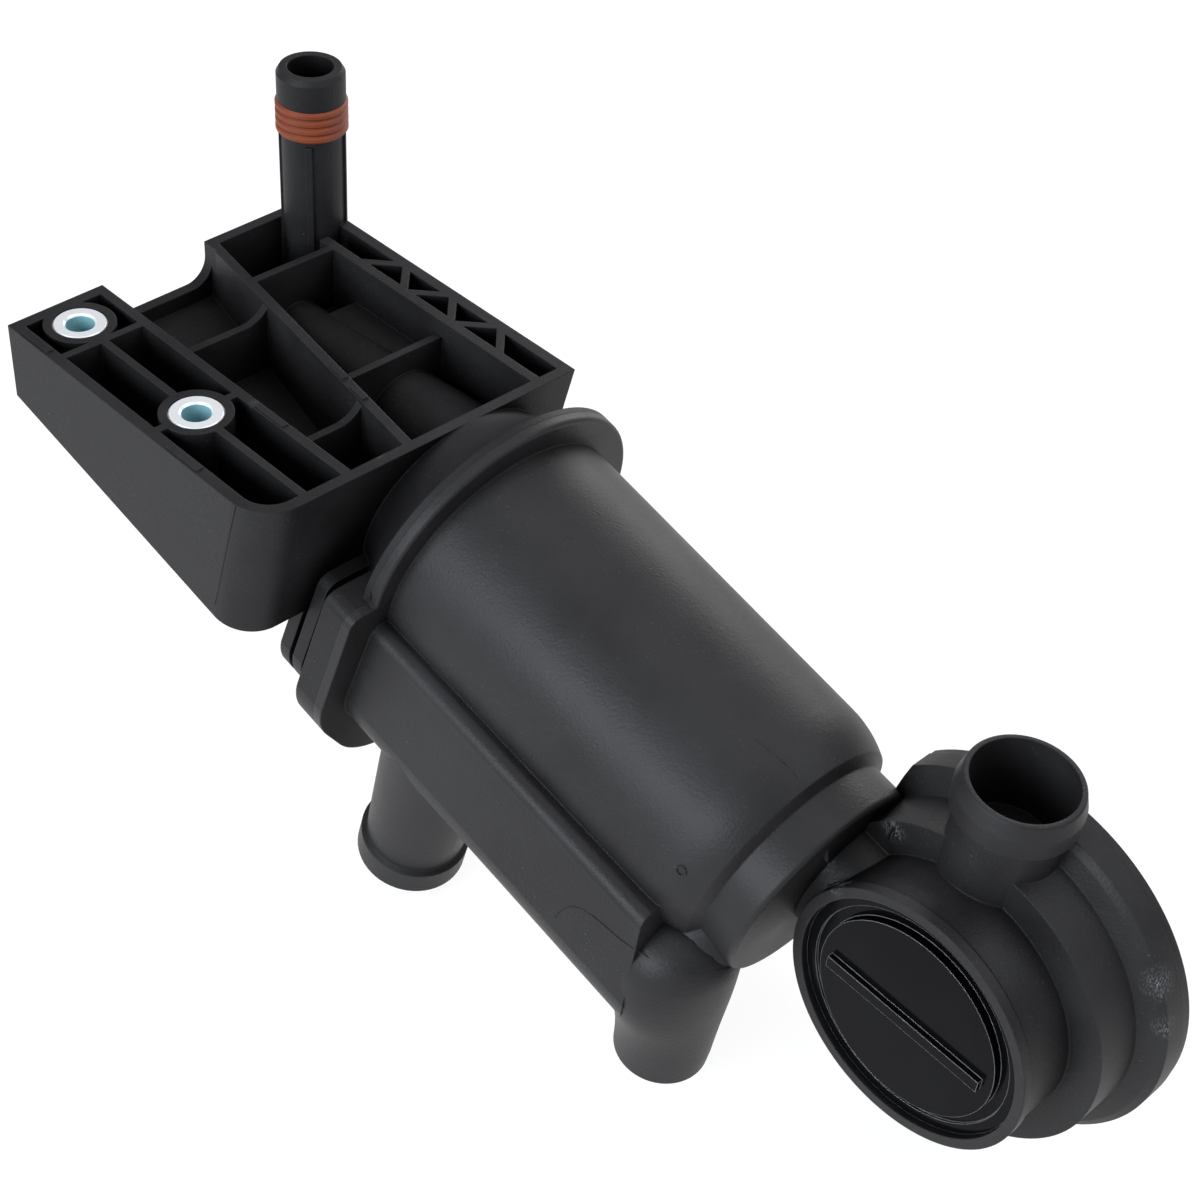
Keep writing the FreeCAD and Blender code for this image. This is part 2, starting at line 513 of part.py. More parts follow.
# Inner tube of the separator, its plate trapped behind the weld seam
cyclone_tube = turned("cyclone_tube", "XY_Plane", "H_Axis", [
    ("seam + tube_gap", "tube_r - tube_wall"), ("seam + tube_gap", "can_r - can_wall - 0.3"),
    ("seam + tube_gap + tube_plate", "can_r - can_wall - 0.3"), ("seam + tube_gap + tube_plate", "tube_r"),
    ("tube_end", "tube_r"), ("tube_end", "tube_r - tube_wall")], on_canister("0", "0", "0"), "tilt")

# Valve housing: turned about its own axis, cut flat against the neck, with joint tube, seat and nipple
valve_x = "flange_x + valve_s * cos(tilt)"
valve_z = "flange_z - valve_s * sin(tilt)"
valve_where = (valve_x, "0", valve_z)
housing_ring = turned("housing_ring", "XY_Plane", "V_Axis", [
    ("cap_seat_r", "lip_y"), ("lip_r", "lip_y"), ("lip_r", "lip_y + lip_deep"), ("front_r",
    "lip_y + lip_deep + 0.7"),
    ("front_r", "step_y"), ("step_r", "step_y"), ("step_r", "rear_y - 1.5"), ("rear_r - 1.5", "rear_y"),
    ("rear_r", "rear_y + 1.2"), ("rear_r", "rear_face_y"), ("ledge_r", "rear_face_y"), ("ledge_r", "ledge_y"),
    ("bowl_r", "ledge_y"), ("bowl_r", "bowl_y"), ("chamber_r", "bowl_foot_y"), ("chamber_r", "cap_seat_y"),
    ("cap_seat_r", "cap_seat_y")], valve_where, "tilt")
def flat_box(name, end, side_end):
    return box(name, "rear_r * 2", "%s + trim_reach" % side_end, "rear_r * 2",
               on_canister("%s - rear_r * 2" % end, "-trim_reach", "-rear_r"), "tilt")


rear_cut = flat_box("rear_flat_cut", "neck_end - rear_flat", "trim_reach")
flat_cut = fuse("housing_flat", [flat_box("neck_flat", "neck_end + weld_gap", "rear_y - 1.5 - flange_y"),
    rear_cut,
                                 disc("neck_clear", "neck_r + weld_gap", "can_end", "neck_end + weld_gap")])
joint_tube = cylinder("joint_tube", "joint_r", "valve_s - neck_end - weld_gap - chamber_r + 4",
                      on_canister("neck_end + weld_gap", "port_side", "0"), "90 + tilt")
stub_where = ("stub_x", "stub_y", valve_z)
stub = turned("valve_stub", "XZ_Plane", "V_Axis", [
    ("0", "stub_foot"), ("stub_r", "stub_foot"), ("stub_r", "stub_rise - stub_barb - 1.5"),
    ("stub_barb_r + 0.5", "stub_rise - stub_barb"), ("stub_barb_r + 0.5", "stub_rise - stub_barb * 0.45"),
    ("stub_barb_r - 0.4", "stub_rise - 0.4"), ("stub_barb_r - 0.8", "stub_rise"), ("0", "stub_rise")],
    stub_where, "stub_turn")
housing_skin = fuse("housing_skin", [cut("housing_trimmed", housing_ring, flat_cut), joint_tube, stub])
chamber = turned("valve_chamber", "XY_Plane", "V_Axis", [
    ("0", "lip_y - 1"), ("cap_seat_r", "lip_y - 1"), ("cap_seat_r", "cap_seat_y"), ("chamber_r",
    "cap_seat_y"),
    ("chamber_r", "bowl_foot_y"), ("bowl_r", "bowl_y"), ("bowl_r", "ledge_y"), ("ledge_r", "ledge_y"),
    ("ledge_r", "rear_face_y + 9"), ("0", "rear_face_y + 9")], valve_where, "tilt")
hollow_housing = cut("hollow_housing", housing_skin, chamber)
seat_tube = turned("seat_tube", "XY_Plane", "V_Axis", [
    ("0", "seat_foot_y"), ("seat_r", "seat_foot_y"), ("seat_r", "seat_y - 1"), ("seat_r - 1", "seat_y"),
    ("0", "seat_y")], valve_where, "tilt")
branch_where = ("stub_x + stub_foot * sin(stub_turn) * 0.2", "branch_y", valve_z)
branch = cylinder("branch_tube", "branch_r", "chamber_r + 1.5", branch_where, "stub_turn")
seat_well = turned("seat_well", "XY_Plane", "V_Axis", [
    ("0", "seat_foot_y + seat_floor"), ("seat_bore_r", "seat_foot_y + seat_floor"), ("seat_bore_r",
    "seat_y + 1"),
    ("0", "seat_y + 1")], valve_where, "tilt")
valve_voids = [
    seat_well,
    cylinder("branch_bore", "branch_bore_r", "stub_ledge + 1", branch_where, "stub_turn"),
    cylinder("stub_bore", "stub_bore_r", "stub_rise - stub_ledge + 1",
             ("stub_x + stub_ledge * sin(stub_turn)", "stub_y", valve_z + " + stub_ledge * cos(stub_turn)"),
             "stub_turn"),
    cylinder("joint_bore", "port_r", "valve_s - neck_end - chamber_r + 4", on_canister("neck_end",
    "port_side", "0"),
             "90 + tilt"),
]
valve_housing = cut("valve_housing", fuse("housing_solid", [hollow_housing, seat_tube, branch]),
                    fuse("housing_voids", valve_voids))

# Front cap with its ring, raised disc and bar
cap_disc = turned("cap_disc", "XY_Plane", "V_Axis", [
    ("0", "disc_y"), ("disc_r", "disc_y"), ("disc_r", "groove_y"), ("cap_ring_r", "groove_y"),
    ("cap_ring_r", "cap_ring_y"), ("cap_seat_r - cap_gap", "cap_ring_y"), ("cap_seat_r - cap_gap",
    "cap_seat_y"),
    ("0", "cap_seat_y")], valve_where, "tilt")
cap_bar = box("cap_bar", "bar_length", "bar_height + 0.5", "bar_width",
              (valve_x + " - bar_length / 2 * cos(bar_turn) - bar_width / 2 * sin(bar_turn)",
              "disc_y - bar_height",
               valve_z + " + bar_length / 2 * sin(bar_turn) - bar_width / 2 * cos(bar_turn)"), "bar_turn")
valve_cap = fuse("valve_cap", [cap_disc, cap_bar])

# Diaphragm with rim bead and fold, open at the hub
fold_y = "plate_y + plate_deep + fold_deep"
diaphragm = turned("diaphragm", "XY_Plane", "V_Axis", [
    ("bead_r", "ledge_y"), ("bead_r", "ledge_y + bead_deep"), ("bead_in_r", "ledge_y + bead_deep"),
    ("bead_in_r - 1", "ledge_y + bead_deep - 0.4"), ("fold_r + 3", fold_y + " + membrane"),
    ("fold_r - 3", fold_y + " + membrane"), ("plate_r", "plate_y + plate_deep + membrane"),
    ("hub_r", "plate_y + plate_deep + membrane"), ("hub_r", "plate_y + plate_deep"),
    ("plate_r + 0.4", "plate_y + plate_deep"), ("fold_r - 2.6", fold_y), ("fold_r + 2.6", fold_y),
    ("bead_in_r - 1.6", "ledge_y")], valve_where, "tilt")
diaphragm_plate = turned("diaphragm_plate", "XY_Plane", "V_Axis", [
    ("0", "plate_y"), ("plate_r - 0.4", "plate_y"), ("plate_r", "plate_y + 0.4"), ("plate_r",
    "plate_y + plate_deep"),
    ("hub_r - 0.1", "plate_y + plate_deep"), ("hub_r - 0.1", "plate_y + plate_deep + hub_deep"),
    ("0", "plate_y + plate_deep + hub_deep")], valve_where, "tilt")

# Coil spring inside the seat tube, from its floor to the plate
spring_foot = "seat_foot_y + seat_floor + wire_r + spring_gap"
regulating_spring = new_body("regulating_spring", valve_where, "tilt")
wire_sketch = regulating_spring.newObject("Sketcher::SketchObject", "spring_wire")
wire_sketch.AttachmentSupport = [(regulating_spring.Origin.OriginFeatures[3], "")]
wire_sketch.MapMode = "FlatFace"
wire_sketch.addGeometry(Part.Circle(FreeCAD.Vector(number("spring_r"), number(spring_foot), 0),
                                    FreeCAD.Vector(0, 0, 1), number("wire_r")))
for kind, formula in (("DistanceX", "spring_r"), ("DistanceY", spring_foot)):
    wire_mark = wire_sketch.addConstraint(Sketcher.Constraint(kind, -1, 1, 0, 3, number(formula)))
    wire_sketch.setExpression("Constraints[%d]" % wire_mark, bound(formula))
wire_mark = wire_sketch.addConstraint(Sketcher.Constraint("Radius", 0, number("wire_r")))
wire_sketch.setExpression("Constraints[%d]" % wire_mark, bound("wire_r"))
coil = regulating_spring.newObject("PartDesign::AdditiveHelix", "spring_coil")
coil.Profile = wire_sketch
coil.ReferenceAxis = (wire_sketch, ["V_Axis"])
coil.Mode = "height-turns-angle"
bind(coil, {"Height": "plate_y - wire_r - spring_gap - (%s)" % spring_foot, "Turns": "spring_turns"})
regulating_spring.Tip = coil

# Rear cover held in the housing rim
cover_ring = turned("cover_ring", "XY_Plane", "V_Axis", [
    ("vent_r", "dome_y - cover_wall"), ("dome_r - 5", "dome_y - cover_wall"),
    ("dome_r - cover_wall", "rear_face_y + cover_rim"), ("dome_r - cover_wall", "ledge_y + bead_deep"),
    ("plug_r", "ledge_y + bead_deep"), ("plug_r", "rear_face_y"), ("cover_r", "rear_face_y"),
    ("cover_r", "rear_face_y + cover_rim"), ("dome_r + 1", "rear_face_y + cover_rim"), ("dome_r - 3",
    "dome_y"),
    ("vent_r", "dome_y")], valve_where, "tilt")
diaphragm_cover = cut("diaphragm_cover", cover_ring, rear_cut)

doc.recompute()

# Checks, then one file a piece
pieces = [bracket_head] + sleeves + [spigot_seal, canister, cyclone_tube, valve_housing, valve_cap, diaphragm,
                                     diaphragm_plate, regulating_spring, diaphragm_cover]
for item in doc.Objects:
    if "Invalid" in item.State or "Error" in item.State:
        raise RuntimeError("not built: " + item.Name)
os.makedirs("parts", exist_ok=True)
for piece in pieces:
    if piece.Shape.isNull() or not piece.Shape.isValid() or not piece.Shape.Solids:
        raise RuntimeError("bad shape: " + piece.Label)
    print(piece.Label, len(piece.Shape.Solids), round(piece.Shape.Volume, 1), piece.Shape.BoundBox)
    piece.Shape.exportStep("parts/%s.step" % piece.Label)
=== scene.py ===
import math

import bpy
from mathutils import Euler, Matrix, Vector


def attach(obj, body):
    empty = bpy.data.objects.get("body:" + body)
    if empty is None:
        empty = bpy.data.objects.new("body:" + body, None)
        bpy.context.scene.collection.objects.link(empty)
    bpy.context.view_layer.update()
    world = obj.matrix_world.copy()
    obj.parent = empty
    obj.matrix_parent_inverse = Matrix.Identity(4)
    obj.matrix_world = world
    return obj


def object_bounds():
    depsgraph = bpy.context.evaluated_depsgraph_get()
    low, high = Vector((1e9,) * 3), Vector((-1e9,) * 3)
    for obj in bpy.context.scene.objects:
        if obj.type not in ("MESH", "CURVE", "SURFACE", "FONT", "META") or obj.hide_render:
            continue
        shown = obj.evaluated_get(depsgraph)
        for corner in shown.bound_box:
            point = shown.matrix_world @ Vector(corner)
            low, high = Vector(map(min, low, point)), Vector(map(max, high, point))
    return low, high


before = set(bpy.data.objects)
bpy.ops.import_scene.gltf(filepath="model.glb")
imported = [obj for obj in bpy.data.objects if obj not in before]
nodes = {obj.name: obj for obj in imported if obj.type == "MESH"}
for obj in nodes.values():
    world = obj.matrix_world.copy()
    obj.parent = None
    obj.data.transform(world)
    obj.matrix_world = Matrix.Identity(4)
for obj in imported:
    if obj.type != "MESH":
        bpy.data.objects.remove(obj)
cad_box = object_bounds()
scene = bpy.context.scene
scene.view_settings.view_transform = "Standard"

MM = 0.001
BODY = "separator"

# Lie of the canister axis in the part's frame, in millimetres
TILT = math.radians(14.0)
FLANGE = Vector((67.07, 43.15, -28.63))
ALONG = Vector((math.cos(TILT), 0, -math.sin(TILT)))
UPWARD = Vector((math.sin(TILT), 0, math.cos(TILT)))


def on_canister(along, side, up):
    return FLANGE + ALONG * along + Vector((0, side, 0)) + UPWARD * up


# Node helpers
def add_node(tree, kind, place, **values):
    node = tree.nodes.new(kind)
    node.location = place
    for name, value in values.items():
        if name in node.inputs:
            node.inputs[name].default_value = value
        else:
            setattr(node, name, value)
    return node


def new_group(name, inputs, outputs):
    tree = bpy.data.node_groups.new(name, "ShaderNodeTree")
    for label, kind, value in inputs:
        socket = tree.interface.new_socket(label, in_out="INPUT", socket_type=kind)
        if value is not None:
            socket.default_value = value
    for label, kind in outputs:
        tree.interface.new_socket(label, in_out="OUTPUT", socket_type=kind)
    return tree, tree.nodes.new("NodeGroupInput"), tree.nodes.new("NodeGroupOutput")


# Spark-eroded mould grain: fine height, cloudy random tone and sparse pale flecks that are partly dust and
# partly painted glints
def make_grain_group():
    tree, given, made = new_group(
        "moulded_grain",
        [("Coordinates", "NodeSocketVector", None), ("Grain Scale", "NodeSocketFloat", 2600.0),
         ("Shade Dark", "NodeSocketColor", (0.01, 0.01, 0.011, 1)),
         ("Shade Pale", "NodeSocketColor", (0.02, 0.02, 0.022, 1)),
         ("Rough Low", "NodeSocketFloat", 0.42), ("Rough High", "NodeSocketFloat", 0.6),
         ("Dust And Glint", "NodeSocketFloat", 0.12)],
        [("Color", "NodeSocketColor"), ("Roughness", "NodeSocketFloat"), ("Height", "NodeSocketFloat")])
    link = tree.links.new
    grain = add_node(tree, "ShaderNodeTexNoise", (-600, 200), Detail=3.0, Roughness=0.6)
    pits = add_node(tree, "ShaderNodeTexVoronoi", (-600, -60), feature="SMOOTH_F1", Smoothness=0.6)
    flow = add_node(tree, "ShaderNodeTexNoise", (-600, -320), Scale=38.0, Detail=4.0, Roughness=0.62)
    specks = add_node(tree, "ShaderNodeTexNoise", (-600, -580), Scale=2300.0, Detail=1.0, Roughness=0.5)
    patches = add_node(tree, "ShaderNodeTexNoise", (-600, -820), Scale=60.0, Detail=2.0)
    half = add_node(tree, "ShaderNodeMath", (-800, 0), operation="MULTIPLY")
    half.inputs[1].default_value = 0.55
    for texture in (grain, pits, flow, specks, patches):
        link(given.outputs["Coordinates"], texture.inputs["Vector"])
    link(given.outputs["Grain Scale"], grain.inputs["Scale"])
    link(given.outputs["Grain Scale"], half.inputs[0])
    link(half.outputs[0], pits.inputs["Scale"])
    height = add_node(tree, "ShaderNodeMath", (-360, 140), operation="MULTIPLY_ADD")
    height.inputs[1].default_value = 0.6
    link(pits.outputs["Distance"], height.inputs[0])
    link(grain.outputs[0], height.inputs[2])
    link(height.outputs[0], made.inputs["Height"])
    spread = add_node(tree, "ShaderNodeMapRange", (-360, -320), clamp=True)
    spread.inputs["From Min"].default_value = 0.36
    spread.inputs["From Max"].default_value = 0.66
    link(flow.outputs[0], spread.inputs["Value"])
    shade = add_node(tree, "ShaderNodeMix", (-120, -120), data_type="RGBA")
    link(spread.outputs["Result"], shade.inputs["Factor"])
    link(given.outputs["Shade Dark"], shade.inputs["A"])
    link(given.outputs["Shade Pale"], shade.inputs["B"])
    # Sparse pale flecks, partly dust and partly painted glints, gathered in patches
    glint = add_node(tree, "ShaderNodeMapRange", (-360, -580), clamp=True)
    glint.inputs["From Min"].default_value = 0.7
    glint.inputs["From Max"].default_value = 0.8
    link(specks.outputs[0], glint.inputs["Value"])
    where = add_node(tree, "ShaderNodeMapRange", (-360, -820), clamp=True)
    where.inputs["From Min"].default_value = 0.42
    where.inputs["From Max"].default_value = 0.62
    link(patches.outputs[0], where.inputs["Value"])
    link(given.outputs["Dust And Glint"], where.inputs["To Max"])
    sparse = add_node(tree, "ShaderNodeMath", (-160, -640), operation="MULTIPLY")
    link(glint.outputs["Result"], sparse.inputs[0])
    link(where.outputs["Result"], sparse.inputs[1])
    fleck = add_node(tree, "ShaderNodeMix", (80, -120), data_type="RGBA")
    fleck.inputs["B"].default_value = (0.3, 0.3, 0.31, 1)
    link(sparse.outputs[0], fleck.inputs["Factor"])
    link(shade.outputs["Result"], fleck.inputs["A"])
    link(fleck.outputs["Result"], made.inputs["Color"])
    rough = add_node(tree, "ShaderNodeMapRange", (-120, -420), clamp=True)
    rough.inputs["From Min"].default_value = 0.3
    rough.inputs["From Max"].default_value = 0.7
    link(flow.outputs[0], rough.inputs["Value"])
    link(given.outputs["Rough Low"], rough.inputs["To Min"])
    link(given.outputs["Rough High"], rough.inputs["To Max"])
    link(rough.outputs["Result"], made.inputs["Roughness"])
    return tree


GRAIN = make_grain_group()


# Pale rub marks around one spot
def make_scuff_group():
    tree, given, made = new_group(
        "pale_scuff",
        [("Coordinates", "NodeSocketVector", None), ("Centre", "NodeSocketVector", (0, 0, 0)),
         ("Reach", "NodeSocketFloat", 0.004), ("Streaks", "NodeSocketFloat", 3200.0)],
        [("Mask", "NodeSocketFloat")])
    link = tree.links.new
    away = add_node(tree, "ShaderNodeVectorMath", (-500, 100), operation="DISTANCE")
    fade = add_node(tree, "ShaderNodeMapRange", (-300, 100), clamp=True)
    fade.inputs["To Min"].default_value = 1.0
    fade.inputs["To Max"].default_value = 0.0
    lay = add_node(tree, "ShaderNodeMapping", (-500, -200))
    lay.inputs["Rotation"].default_value = (0.4, 0.3, 0.7)
    lay.inputs["Scale"].default_value = (1.0, 1.0, 0.3)
    streaks = add_node(tree, "ShaderNodeTexNoise", (-300, -200), Detail=4.0, Roughness=0.7)
    torn = add_node(tree, "ShaderNodeMapRange", (-100, -200), clamp=True)
    torn.inputs["From Min"].default_value = 0.5
    torn.inputs["From Max"].default_value = 0.62
    both = add_node(tree, "ShaderNodeMath", (100, 0), operation="MULTIPLY")
    link(given.outputs["Coordinates"], away.inputs[0])
    link(given.outputs["Centre"], away.inputs[1])
    link(away.outputs["Value"], fade.inputs["Value"])
    link(given.outputs["Reach"], fade.inputs["From Max"])
    link(given.outputs["Coordinates"], lay.inputs["Vector"])
    link(lay.outputs["Vector"], streaks.inputs["Vector"])
    link(given.outputs["Streaks"], streaks.inputs["Scale"])
    link(streaks.outputs[0], torn.inputs["Value"])
    link(fade.outputs["Result"], both.inputs[0])
    link(torn.outputs["Result"], both.inputs[1])
    link(both.outputs[0], made.inputs["Mask"])
    return tree


SCUFF = make_scuff_group()
SCUFF_TONE = (0.17, 0.175, 0.185)
# Painted shade in hollows: the ambient-occlusion reach in millimetres, and the near-black tone that hollows
# are darkened to
OCCLUSION_REACH = 16.0
PAINTED_HOLLOW_SHADE = 0.0012


# Rounded edges in the shading, with a mask for worn edges and painted edge highlights, and a mask of painted
# shade in hollows found by ambient occlusion
def make_edge_group():
    tree, given, made = new_group(
        "edges_worn_highlit_and_hollow_shade",
        [("Radius", "NodeSocketFloat", 0.0005), ("Edge Tint Share", "NodeSocketFloat", 0.4),
         ("Reach", "NodeSocketFloat", OCCLUSION_REACH * MM)],
        [("Normal", "NodeSocketVector"), ("Worn And Highlit Edge", "NodeSocketFloat"), ("Painted Hollow Shade", "NodeSocketFloat")])
    link = tree.links.new
    soft = add_node(tree, "ShaderNodeBevel", (-600, -100), samples=3)
    facing = add_node(tree, "ShaderNodeNewGeometry", (-600, -300))
    bend = add_node(tree, "ShaderNodeVectorMath", (-400, -200), operation="DOT_PRODUCT")
    # Edge tint mask: where the rounded shading normal turns away, for worn edges and painted edge highlights
    edge_tint_mask = add_node(tree, "ShaderNodeMapRange", (-200, -200), clamp=True)
    edge_tint_mask.inputs["From Min"].default_value = 0.97
    edge_tint_mask.inputs["From Max"].default_value = 0.75
    # Ambient occlusion, mapped by depth into a mask of painted shade in hollows
    hollow = add_node(tree, "ShaderNodeAmbientOcclusion", (-600, 200), samples=4)
    depth = add_node(tree, "ShaderNodeMapRange", (-200, 200), clamp=True)
    depth.inputs["From Min"].default_value = 0.62
    depth.inputs["From Max"].default_value = 0.25
    link(given.outputs["Radius"], soft.inputs["Radius"])
    link(soft.outputs["Normal"], bend.inputs[0])
    link(facing.outputs["Normal"], bend.inputs[1])
    link(bend.outputs["Value"], edge_tint_mask.inputs["Value"])
    link(given.outputs["Edge Tint Share"], edge_tint_mask.inputs["To Max"])
    link(given.outputs["Reach"], hollow.inputs["Distance"])
    link(hollow.outputs["AO"], depth.inputs["Value"])
    link(soft.outputs["Normal"], made.inputs["Normal"])
    link(edge_tint_mask.outputs["Result"], made.inputs["Worn And Highlit Edge"])
    link(depth.outputs["Result"], made.inputs["Painted Hollow Shade"])
    return tree


EDGES = make_edge_group()
GRAIN_DEPTH = 0.0002


def tint(tree, colour, mask, tone, place):
    blend = add_node(tree, "ShaderNodeMix", place, data_type="RGBA")
    blend.inputs["B"].default_value = (*tone, 1)
    tree.links.new(colour, blend.inputs["A"])
    tree.links.new(mask, blend.inputs["Factor"])
    return blend.outputs["Result"]


# A moulding finish: grain as (scale, strength), edges as (radius, tint share, tone) and scuffs as (centre,
# reach), with lengths in millimetres; the edge tone shows worn edges, and on the cap it is a painted
# highlight
def moulded(name, shades, rough, grain, specular, dust_and_glint, edge, scuffs=()):
    material = bpy.data.materials.new(name)
    material.use_nodes = True
    tree = material.node_tree
    shader = tree.nodes["Principled BSDF"]
    shader.inputs["Specular IOR Level"].default_value = specular
    place = add_node(tree, "ShaderNodeTexCoord", (-1300, 0))
    group = add_node(tree, "ShaderNodeGroup", (-1000, 0))
    group.node_tree = GRAIN
    group.inputs["Grain Scale"].default_value = grain[0]
    group.inputs["Shade Dark"].default_value = (*shades[0], 1)
    group.inputs["Shade Pale"].default_value = (*shades[1], 1)
    group.inputs["Rough Low"].default_value = rough[0]
    group.inputs["Rough High"].default_value = rough[1]
    group.inputs["Dust And Glint"].default_value = dust_and_glint
    tree.links.new(place.outputs["Object"], group.inputs["Coordinates"])
    width, edge_tint_share, tone = edge
    edges = add_node(tree, "ShaderNodeGroup", (-1000, -320))
    edges.node_tree = EDGES
    edges.inputs["Radius"].default_value = width * MM
    edges.inputs["Edge Tint Share"].default_value = edge_tint_share
    edges.inputs["Reach"].default_value = OCCLUSION_REACH * MM
    # Painted shade: the colour is darkened in hollows
    colour = tint(tree, group.outputs["Color"], edges.outputs["Painted Hollow Shade"], (PAINTED_HOLLOW_SHADE,) * 3, (-600, 200))
    # Edge tint: worn edges, and on the cap a painted highlight along its rounded edges
    colour = tint(tree, colour, edges.outputs["Worn And Highlit Edge"], tone, (-420, 200))
    for number, (centre, reach) in enumerate(scuffs):
        mark = add_node(tree, "ShaderNodeGroup", (-700, 300 + 200 * number))
        mark.node_tree = SCUFF
        mark.inputs["Centre"].default_value = [part * MM for part in centre]
        mark.inputs["Reach"].default_value = reach * MM
        tree.links.new(place.outputs["Object"], mark.inputs["Coordinates"])
        colour = tint(tree, colour, mark.outputs["Mask"], SCUFF_TONE, (-420 + 160 * number, 400))
    relief = add_node(tree, "ShaderNodeBump", (-300, -200), Strength=grain[1], Distance=GRAIN_DEPTH)
    tree.links.new(colour, shader.inputs["Base Color"])
    tree.links.new(group.outputs["Roughness"], shader.inputs["Roughness"])
    tree.links.new(edges.outputs["Normal"], relief.inputs["Normal"])
    tree.links.new(group.outputs["Height"], relief.inputs["Height"])
    tree.links.new(relief.outputs["Normal"], shader.inputs["Normal"])
    return material


# Plated steel; the bolt sleeves' bores, found by their distance from the two bolt axes, get a light bluish
# tone that is painted light
BOLT_HALF_PITCH = 21.75
BORE_REACH = (3.27, 3.33)
BORE_PAINTED_LIGHT = (0.3, 0.56, 0.62)


def metal(name, colour, rough, streak_scale, turn, shine, lit_blue_bore):
    material = bpy.data.materials.new(name)
    material.use_nodes = True
    tree = material.node_tree
    shader = tree.nodes["Principled BSDF"]
    shader.inputs["Metallic"].default_value = shine
    place = add_node(tree, "ShaderNodeTexCoord", (-1000, 0))
    lay = add_node(tree, "ShaderNodeMapping", (-800, 0))
    lay.inputs["Scale"].default_value = turn
    streak = add_node(tree, "ShaderNodeTexNoise", (-600, 0), Scale=streak_scale, Detail=3.0)
    tone = add_node(tree, "ShaderNodeMapRange", (-400, 120), clamp=True)
    tone.inputs["To Min"].default_value = rough[0]
    tone.inputs["To Max"].default_value = rough[1]
    shade = add_node(tree, "ShaderNodeMix", (-400, 320), data_type="RGBA")
    shade.inputs["A"].default_value = (*[part * 0.86 for part in colour], 1)
    shade.inputs["B"].default_value = (*colour, 1)
    relief = add_node(tree, "ShaderNodeBump", (-300, -200), Strength=0.05, Distance=0.0001)
    tree.links.new(place.outputs["Object"], lay.inputs["Vector"])
    tree.links.new(lay.outputs["Vector"], streak.inputs["Vector"])
    tree.links.new(streak.outputs[0], tone.inputs["Value"])
    tree.links.new(streak.outputs[0], shade.inputs["Factor"])
    plated = shade.outputs["Result"]
    if lit_blue_bore:
        mirrored = add_node(tree, "ShaderNodeVectorMath", (-800, 500), operation="ABSOLUTE")
        offset = add_node(tree, "ShaderNodeVectorMath", (-640, 500), operation="SUBTRACT")
        offset.inputs[1].default_value = (BOLT_HALF_PITCH * MM, 0, 0)
        flat = add_node(tree, "ShaderNodeVectorMath", (-480, 500), operation="MULTIPLY")
        flat.inputs[1].default_value = (1, 1, 0)
        radius = add_node(tree, "ShaderNodeVectorMath", (-320, 500), operation="LENGTH")
        bore_light_mask = add_node(tree, "ShaderNodeMapRange", (-160, 500), clamp=True)
        bore_light_mask.inputs["From Min"].default_value = BORE_REACH[1] * MM
        bore_light_mask.inputs["From Max"].default_value = BORE_REACH[0] * MM
        tree.links.new(place.outputs["Object"], mirrored.inputs[0])
        tree.links.new(mirrored.outputs["Vector"], offset.inputs[0])
        tree.links.new(offset.outputs["Vector"], flat.inputs[0])
        tree.links.new(flat.outputs["Vector"], radius.inputs[0])
        tree.links.new(radius.outputs["Value"], bore_light_mask.inputs["Value"])
        # Painted light: the bore's light bluish tone stands in for light seen inside it
        plated = tint(tree, plated, bore_light_mask.outputs["Result"], BORE_PAINTED_LIGHT, (0, 500))
    tree.links.new(plated, shader.inputs["Base Color"])
    tree.links.new(tone.outputs["Result"], shader.inputs["Roughness"])
    tree.links.new(streak.outputs[0], relief.inputs["Height"])
    tree.links.new(relief.outputs["Normal"], shader.inputs["Normal"])
    return material


# Finishes, and the piece that each one goes on
BLACK = ((0.0122, 0.0117, 0.0124), (0.0198, 0.0193, 0.0206))
RUBBED = (0.05, 0.05, 0.055)
VALVE_SCUFFS = [
    ((181.5, 49.8, -34.6), 3.6), ((180.5, 36.9, -42.4), 3.2), ((238.2, 63.6, -41.3), 4.6),
    ((242.0, 63.4, -50.7), 3.2), ((174.1, 40.5, -44.9), 2.0),
]
HEAD_SCUFFS = [((-30.6, 30.0, -3.0), 2.5), ((27.0, 11.3, 0.0), 1.6), ((58.0, 20.0, -1.0), 2.0)]
black_moulding = moulded(
    "black_moulding", BLACK, rough=(0.4, 0.52), grain=(2600.0, 0.3), specular=0.24, dust_and_glint=0.2,
    edge=(0.55, 0.4, RUBBED))
head_moulding = moulded(
    "head_moulding", BLACK, rough=(0.44, 0.56), grain=(2600.0, 0.3), specular=0.15, dust_and_glint=0.25,
    edge=(0.4, 0.6, RUBBED), scuffs=HEAD_SCUFFS)
valve_moulding = moulded(
    "valve_moulding", BLACK, rough=(0.42, 0.54), grain=(2400.0, 0.28), specular=0.22, dust_and_glint=0.2,
    edge=(0.5, 0.45, RUBBED), scuffs=VALVE_SCUFFS)
